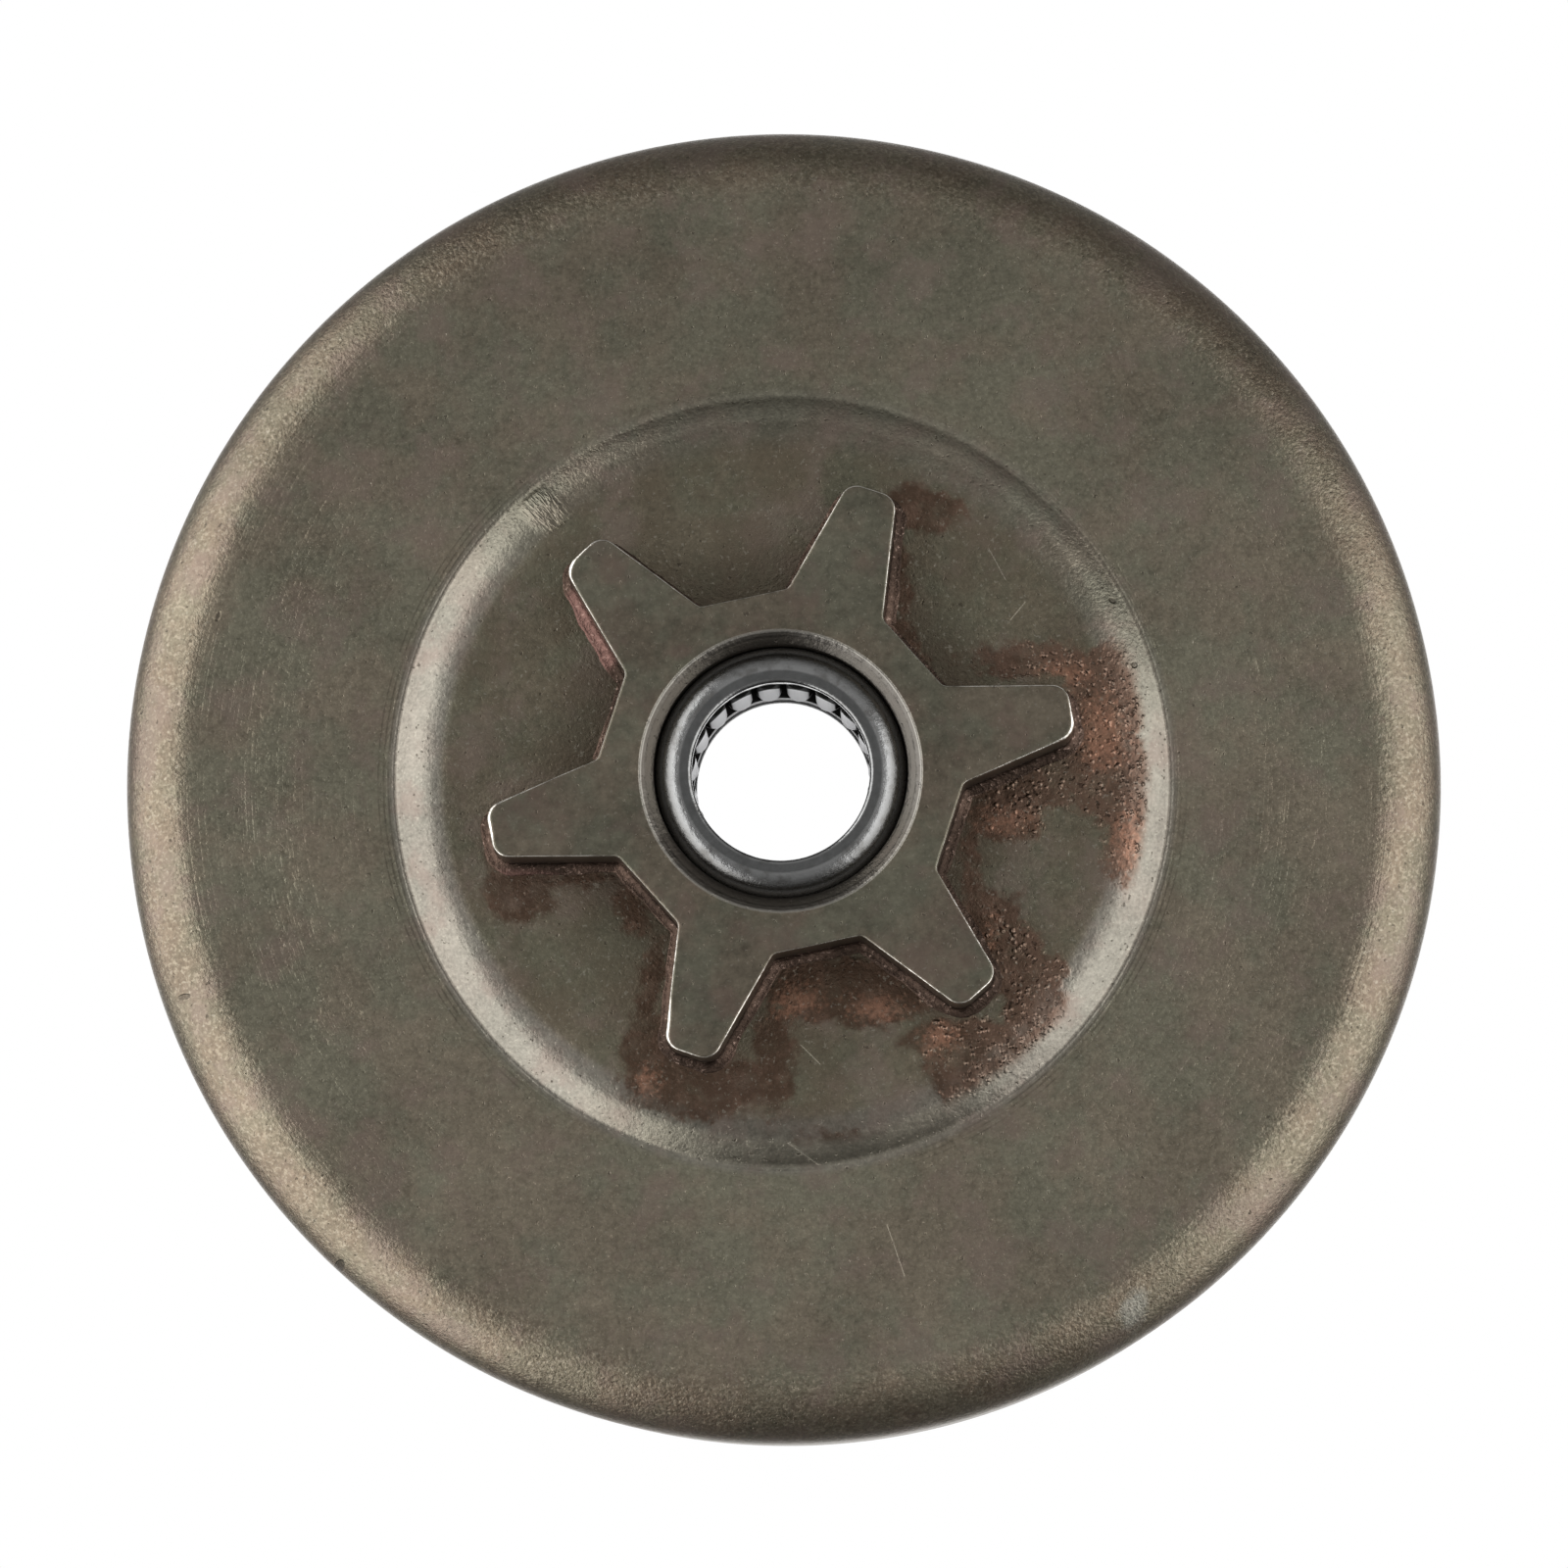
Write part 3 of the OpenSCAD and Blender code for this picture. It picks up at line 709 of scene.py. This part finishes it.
def build_star():
    full, inner = outline(0.0), outline(-0.3)
    count = len(full)
    angles = [math.atan2(y, x) for x, y in full]
    # the broken edge is wider where tooth corners are worn
    edge = []
    for x, y in full:
        px, py = to_picture(x, y)
        worn = max(math.exp(-((px - cx) ** 2 + (py - cy) ** 2) / size ** 2) for cx, cy, size in WORN_CORNERS)
        edge.append(0.13 + 0.02 * wobble(x, y, 3, 1.2) + 0.15 * worn)

    def circle(r, z):
        return [(r * math.cos(a), r * math.sin(a), z) for a in angles]

    def edge_ring(inward, rise):
        """A ring of the edge: parts of its width inwards from the flank and up from its lower side."""
        return [(x + (u - x) * w * inward / 0.3, y + (v - y) * w * inward / 0.3, TOP_Z - w + w * rise)
                for (x, y), (u, v), w in zip(full, inner, edge)]

    rings = [circle(SPIGOT_R - 0.3, SPIGOT_Z), circle(SPIGOT_R, SPIGOT_Z + 0.3),
             circle(SPIGOT_R, SPIGOT_Z + 0.6), circle(SPIGOT_R, SEAT_Z), [(x, y, SEAT_Z) for x, y in full]]
    wall_top = TOP_Z - 0.36
    for k in range(1, 9):
        rings.append([(x, y, SEAT_Z + (wall_top - SEAT_Z) * k / 8) for x, y in full])
    rings.append(edge_ring(0.0, -0.15))
    for k in range(5):
        a = math.pi / 2 * k / 4
        rings.append(edge_ring(1 - math.cos(a), math.sin(a)))
    rings.append(edge_ring(1.5, 1.0))
    last = rings[-1]
    bevel_r = SHELL_R + BORE_BEVEL
    for t in (0.25, 0.5, 0.75, 0.95):
        rings.append([(x + (bevel_r * math.cos(a) - x) * t, y + (bevel_r * math.sin(a) - y) * t, TOP_Z)
                      for (x, y, _), a in zip(last, angles)])
    for r, z in ((bevel_r + 0.05, TOP_Z), (bevel_r + 0.01, TOP_Z - 0.008), (bevel_r - 0.035, TOP_Z - 0.030),
                 (bevel_r - 0.09, TOP_Z - 0.062), (SHELL_R + 0.35, TOP_Z - BEVEL_DEPTH * 0.54),
                 (SHELL_R + 0.04, TOP_Z - BEVEL_DEPTH * 0.95), (SHELL_R, TOP_Z - BEVEL_DEPTH - 0.05),
                 (SHELL_R, TOP_Z - 0.9), (SHELL_R, TOP_Z - 1.3), (SHELL_R, 20.0), (SHELL_R, 16.0),
                 (SHELL_R, SPIGOT_Z + 0.4), (SHELL_R + 0.3, SPIGOT_Z)):
        rings.append(circle(r, z))
    verts = []
    for ring in rings:
        for x, y, z in ring:
            r = math.hypot(x, y)
            if z > TOP_Z - 0.3 and r > SHELL_R + 0.9:
                z -= 0.012 + 0.010 * wobble(x, y, 3, 5.0)
            verts.append((x, y, z))
    star = mesh_object("star_sprocket", verts, skin_faces(len(rings), count))
    star.data.materials.append(star_material())
    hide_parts("sprocket")
    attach(star, "drum")


def build_braze():
    under_star = -0.12
    steps = 8
    base = outline(0.0)
    count = len(base)
    grown = {g: outline(g) for g in (under_star, 0.1, 0.2, 0.3, 0.4, 0.5, 0.6, 0.7, 0.8)}

    def at(grow, k):
        """Point k of the outline grown by any amount between the ones above."""
        keys = sorted(grown)
        lo = max([g for g in keys if g <= grow] or [keys[0]])
        hi = min([g for g in keys if g > lo] or [keys[-1]])
        if hi == lo:
            lo = keys[-2]
        t = (grow - lo) / (hi - lo)
        a, b = grown[lo][k], grown[hi][k]
        return a[0] + (b[0] - a[0]) * t, a[1] + (b[1] - a[1]) * t

    rings = [[] for _ in range(steps + 3)]
    for k, (x, y) in enumerate(base):
        px, py = to_picture(x, y)
        (ax, ay), (bx, by) = base[k - 1], base[(k + 1) % count]
        side = Vector((by - ay, ax - bx)).normalized()
        # thinner on the sides that face the picture's top
        upward = max(0.0, to_picture(side.x, side.y)[1])
        # the widest bead lies on the left flank of the upper left tooth
        wide = math.exp(-(((px + 9.6) / 2.2) ** 2 + ((py - 7.6) / 3.2) ** 2)) if px < -7.0 else 0.0
        width = BRAZE_W * (0.80 + 0.20 * wobble(x, y, 4, 1.6) + 0.12 * wobble(x, y, 9, 0.5) + 0.24 * wide)
        width *= 1 - 0.42 * upward
        height = BRAZE_H * (0.90 + 0.25 * wobble(x, y, 14, 1.3) + 0.12 * wobble(x, y, 19, 0.5) + 0.25 * wide)
        for j in range(steps + 1):
            a = math.pi / 2 * j / steps
            gx, gy = at(width * (1 - math.cos(a)), k)
            rings[j].append((gx, gy, SEAT_Z + 0.01 + height * (1 - math.sin(a))))
        gx, gy = at(width, k)
        rings[steps + 1].append((gx, gy, SEAT_Z - 0.05))
        gx, gy = at(under_star, k)
        rings[steps + 2].append((gx, gy, SEAT_Z - 0.05))
    verts = [v for ring in rings for v in ring]
    bead = mesh_object("braze_bead", verts, skin_faces(len(rings), count))
    bead.data.materials.append(braze_material())
    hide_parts("braze_fillet")
    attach(bead, "drum")


def build_shell():
    bevel = 0.15
    profile = ([(LIP_R, SHELL_TOP - LIP_T + 0.08)] + arc(LIP_R + 0.24, SHELL_TOP - 0.24, 0.24, 180, 90, 8)
               + [(LIP_R + 0.33, SHELL_TOP - 0.015)]
               + arc(SHELL_R - SHELL_ROUND, SHELL_TOP - SHELL_ROUND, SHELL_ROUND, 90, 0, 18)
               + arc(SHELL_R - SHELL_ROUND, SHELL_BOT + SHELL_ROUND, SHELL_ROUND, 0, -90, 18)
               + arc(LIP_R + 0.16, SHELL_BOT + 0.16, 0.16, 270, 180, 6)
               + [(LIP_R, SHELL_BOT + LIP_T), (RACE_R - bevel, SHELL_BOT + LIP_T),
                  (RACE_R, SHELL_BOT + LIP_T + bevel), (RACE_R, SHELL_TOP - LIP_T - bevel),
                  (RACE_R - bevel, SHELL_TOP - LIP_T), (LIP_R + 0.06, SHELL_TOP - LIP_T)])

    def shift(r, z, a):
        x, y = r * math.cos(a), r * math.sin(a)
        if z > SHELL_TOP - 0.3 and r < 5.6:
            z += 0.008 * wobble(x, y, 2, 0.9)
        return r, min(z, SHELL_TOP)

    shell = lathe("bearing_race_shell", split_long(profile, 0.8), 288, shift)
    shell.data.materials.append(bearing_material())
    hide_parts("bearing_shell")
    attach(shell, "drum")


def build_cage():
    ring = [(RING_IN, 0.0), (RING_OUT, 0.0), (RING_OUT, RING_T), (RING_IN, RING_T)]
    ring = split_long(soften(ring, 0.08), 0.6)
    count = 180
    verts, faces = [], []
    for z0 in (RING_BOT, RING_TOP - RING_T):
        start = len(verts)
        for r, z in ring:
            verts += [(r * math.cos(TAU * k / count), r * math.sin(TAU * k / count), z0 + z)
                      for k in range(count)]
        faces += skin_faces(len(ring), count, start)
    bar = split_long(soften([(BAR_IN, -BAR_W / 2), (BAR_OUT, -BAR_W / 2), (BAR_OUT, BAR_W / 2),
                             (BAR_IN, BAR_W / 2)], 0.06, 2), 0.3)
    n = len(bar)
    for i in range(ROLLERS):
        start = len(verts)
        zs = [RING_BOT + 0.3 + (RING_TOP - RING_BOT - 0.6) * k / 6 for k in range(7)]
        for z in zs:
            verts += [(*turned(p, CAGE_TURN + 360 / ROLLERS * i), z) for p in bar]
        for k in range(6):
            faces += [(start + k * n + m, start + k * n + (m + 1) % n, start + (k + 1) * n + (m + 1) % n,
                       start + (k + 1) * n + m) for m in range(n)]
        faces += [tuple(start + m for m in range(n))[::-1], tuple(start + 6 * n + m for m in range(n))]
    cage = mesh_object("roller_cage", verts, faces)
    cage.data.materials.append(cage_material())
    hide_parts("bearing_cage")
    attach(cage, "cage")


def build_rollers():
    material = roller_material()
    half = [(0.0, ROLLER_BOT)] + arc(ROLLER_R - 0.18, ROLLER_BOT + 0.18, 0.18, 270, 360, 6)
    half += [(ROLLER_R, ROLLER_BOT + (ROLLER_TOP - ROLLER_BOT) * k / 8) for k in range(1, 8)]
    half += arc(ROLLER_R - 0.18, ROLLER_TOP - 0.18, 0.18, 0, 90, 6) + [(0.0, ROLLER_TOP)]
    count = 40
    for i in range(1, ROLLERS + 1):
        cx, cy = turned((PITCH_R, 0.0), CAGE_TURN + 360 / ROLLERS * (i - 0.5))
        verts = [(cx, cy, ROLLER_BOT)]
        for r, z in half[1:-1]:
            verts += [(cx + r * math.cos(TAU * k / count), cy + r * math.sin(TAU * k / count), z)
                      for k in range(count)]
        verts.append((cx, cy, ROLLER_TOP))
        rows, last = len(half) - 2, len(verts) - 1
        faces = [(0, 1 + (k + 1) % count, 1 + k) for k in range(count)]
        for j in range(rows - 1):
            a, b = 1 + j * count, 1 + (j + 1) * count
            faces += [(a + k, a + (k + 1) % count, b + (k + 1) % count, b + k) for k in range(count)]
        a = 1 + (rows - 1) * count
        faces += [(a + k, a + (k + 1) % count, last) for k in range(count)]
        roller = mesh_object(f"roller_{i:02d}", verts, faces)
        roller.data.materials.append(material)
        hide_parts(f"needle_roller_{i:02d}")
        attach(roller, f"roller_{i:02d}")


build_cup()
build_star()
build_braze()
build_shell()
build_cage()
build_rollers()


# ---------------------------------------------------------------- picture
def place_camera():
    target = Vector((0, 0, AIM_Z * MM))
    back = RIGHT * math.sin(math.radians(LEAN)) - UP * math.sin(math.radians(TILT))
    back.z = math.sqrt(1 - back.x ** 2 - back.y ** 2)
    right = UP.cross(back).normalized()
    up = back.cross(right)
    cam = bpy.data.cameras.new("camera")
    cam.sensor_width = SENSOR
    cam.lens = FOCAL
    cam.shift_x, cam.shift_y = SHIFT
    cam.clip_start, cam.clip_end = 0.01, 50
    obj = bpy.data.objects.new("camera", cam)
    axes = Matrix((right, up, back)).transposed().to_4x4()
    obj.matrix_world = Matrix.Translation(target + back * DISTANCE) @ axes
    bpy.context.scene.collection.objects.link(obj)
    bpy.context.scene.camera = obj


def panel(name, clock, distance, width, low, high, radiance):
    """A soft light panel beside the part, upright, at a clock angle of the picture; sizes in metres."""
    light = bpy.data.lights.new(name, "AREA")
    light.shape = "RECTANGLE"
    light.size, light.size_y = width, high - low
    light.energy = radiance * math.pi * width * (high - low)
    obj = bpy.data.objects.new(name, light)
    a = math.radians(clock)
    side = RIGHT * math.sin(a) + UP * math.cos(a)
    obj.location = side * distance + Vector((0, 0, (low + high) / 2))
    obj.rotation_mode = "QUATERNION"
    obj.rotation_quaternion = side.to_track_quat("Z", "Y")
    bpy.context.scene.collection.objects.link(obj)


def set_world():
    """A white background for the camera, and a grey room that lights the part."""
    world = bpy.data.worlds.new("studio")
    bpy.context.scene.world = world
    world.use_nodes = True
    tree = world.node_tree
    tree.nodes.clear()
    link = tree.links.new
    coords = tree.nodes.new("ShaderNodeTexCoord")
    split = tree.nodes.new("ShaderNodeSeparateXYZ")
    link(coords.outputs["Generated"], split.inputs[0])
    ramp = tree.nodes.new("ShaderNodeValToRGB")
    half = tree.nodes.new("ShaderNodeMapRange")
    half.inputs["From Min"].default_value = -1
    link(split.outputs[2], half.inputs["Value"])
    link(half.outputs[0], ramp.inputs[0])
    ramp.color_ramp.elements[0].position = ROOM[0][0]
    ramp.color_ramp.elements[1].position = ROOM[-1][0]
    for pos, _ in ROOM[1:-1]:
        ramp.color_ramp.elements.new(pos)
    for element, (_, level) in zip(ramp.color_ramp.elements, ROOM):
        element.color = (level / 2, level / 2, level / 2, 1)
    seen = tree.nodes.new("ShaderNodeBackground")
    seen.inputs["Strength"].default_value = 1.0
    seen.inputs["Color"].default_value = (1, 1, 1, 1)
    light = tree.nodes.new("ShaderNodeBackground")
    light.inputs["Strength"].default_value = 2.0
    # the room is lighter beyond the picture's top than below it
    lean = tree.nodes.new("ShaderNodeVectorMath")
    lean.operation = "DOT_PRODUCT"
    lean.inputs[1].default_value = UP * math.cos(ROOM_TURN) + RIGHT * math.sin(ROOM_TURN)
    link(coords.outputs["Generated"], lean.inputs[0])
    factor = tree.nodes.new("ShaderNodeMapRange")
    factor.inputs["From Min"].default_value = -1
    factor.inputs["To Min"].default_value, factor.inputs["To Max"].default_value = ROOM_SIDES
    link(lean.outputs["Value"], factor.inputs["Value"])
    tilt = tree.nodes.new("ShaderNodeVectorMath")
    tilt.operation = "SCALE"
    link(ramp.outputs[0], tilt.inputs[0])
    link(factor.outputs[0], tilt.inputs["Scale"])
    link(tilt.outputs[0], light.inputs["Color"])
    path = tree.nodes.new("ShaderNodeLightPath")
    mix = tree.nodes.new("ShaderNodeMixShader")
    link(path.outputs["Is Camera Ray"], mix.inputs[0])
    link(light.outputs[0], mix.inputs[1])
    link(seen.outputs[0], mix.inputs[2])
    out = tree.nodes.new("ShaderNodeOutputWorld")
    link(mix.outputs[0], out.inputs[0])


def lay_floor():
    """A white floor that only the camera sees, from above; from below it is clear."""
    mesh = bpy.data.meshes.new("floor")
    corners = ((-1, -1), (1, -1), (1, 1), (-1, 1))
    mesh.from_pydata([(x * FLOOR_HALF, y * FLOOR_HALF, FLOOR_Z) for x, y in corners], [], [(0, 1, 2, 3)])
    floor = bpy.data.objects.new("floor", mesh)
    bpy.context.scene.collection.objects.link(floor)
    mat = bpy.data.materials.new("floor_white")
    mat.use_nodes = True
    mat.node_tree.nodes.clear()
    glow = mat.node_tree.nodes.new("ShaderNodeEmission")
    glow.inputs["Color"].default_value = (1, 1, 1, 1)
    clear = mat.node_tree.nodes.new("ShaderNodeBsdfTransparent")
    side = mat.node_tree.nodes.new("ShaderNodeNewGeometry")
    mix = mat.node_tree.nodes.new("ShaderNodeMixShader")
    out = mat.node_tree.nodes.new("ShaderNodeOutputMaterial")
    mat.node_tree.links.new(side.outputs["Backfacing"], mix.inputs[0])
    mat.node_tree.links.new(glow.outputs[0], mix.inputs[1])
    mat.node_tree.links.new(clear.outputs[0], mix.inputs[2])
    mat.node_tree.links.new(mix.outputs[0], out.inputs[0])
    mesh.materials.append(mat)
    floor.visible_diffuse = floor.visible_glossy = floor.visible_shadow = False


bpy.context.scene.view_settings.view_transform = "Standard"
place_camera()
panel("left_light", 262, 0.30, 1.00, -0.12, 0.46, 2.40)
panel("right_light", 101, 0.30, 0.50, -0.07, 0.50, 2.05)
set_world()
lay_floor()
